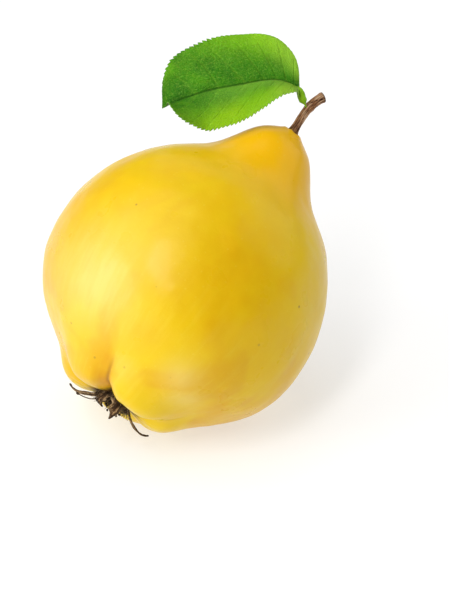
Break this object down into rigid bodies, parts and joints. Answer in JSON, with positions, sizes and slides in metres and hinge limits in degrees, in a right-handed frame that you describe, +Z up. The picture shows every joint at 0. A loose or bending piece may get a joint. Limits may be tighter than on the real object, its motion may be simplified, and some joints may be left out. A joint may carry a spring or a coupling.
{
  "type": "quince",
  "caption": "Ripe yellow quince lying on its side on a small flat spot, with a short woody stalk, a green leaf and the dried flower at its eye.",
  "frame": {"origin": "the middle of the small flat spot under the fruit, on the surface that it rests on", "axes": "+Z up; +X to the right as seen from the front, the side that the stalk leans to; +Y to the back; the dried flower at the eye points down, left and to the front"},
  "size_m": [0.0865, 0.0877, 0.1086],
  "materials": {
    "skin": "satin waxy yellow skin, deeper orange-yellow on the neck, with fine pores",
    "stalk_bark": "dry fluted bark, brown with dark grooves and grey ridges",
    "leaf_green": "satin fresh green, lime towards the margin, with a fine net of veins",
    "dried_sepal": "matt wrinkled brown-grey",
    "dried_stamen": "matt near-black brown",
    "dried_style": "matt dark brown"
  },
  "bodies": {
    "root": {"fruit": "skin", "stalk": "stalk_bark", "leaf": "leaf_green", "sepal_front": "dried_sepal", "sepal_right": "dried_sepal", "sepal_back": "dried_sepal", "sepal_left": "dried_sepal", "sepal_curled": "dried_sepal", "stamen_01": "dried_stamen", "stamen_02": "dried_stamen", "stamen_03": "dried_stamen", "stamen_04": "dried_stamen", "stamen_05": "dried_stamen", "stamen_06": "dried_stamen", "stamen_07": "dried_stamen", "stamen_08": "dried_stamen", "stamen_09": "dried_stamen", "stamen_10": "dried_stamen", "stamen_11": "dried_stamen", "stamen_12": "dried_stamen", "stamen_13": "dried_stamen", "stamen_14": "dried_stamen", "stamen_15": "dried_stamen", "style_01": "dried_style", "style_02": "dried_style", "style_03": "dried_style", "style_04": "dried_style", "style_05": "dried_style"}
  },
  "joints": []
}
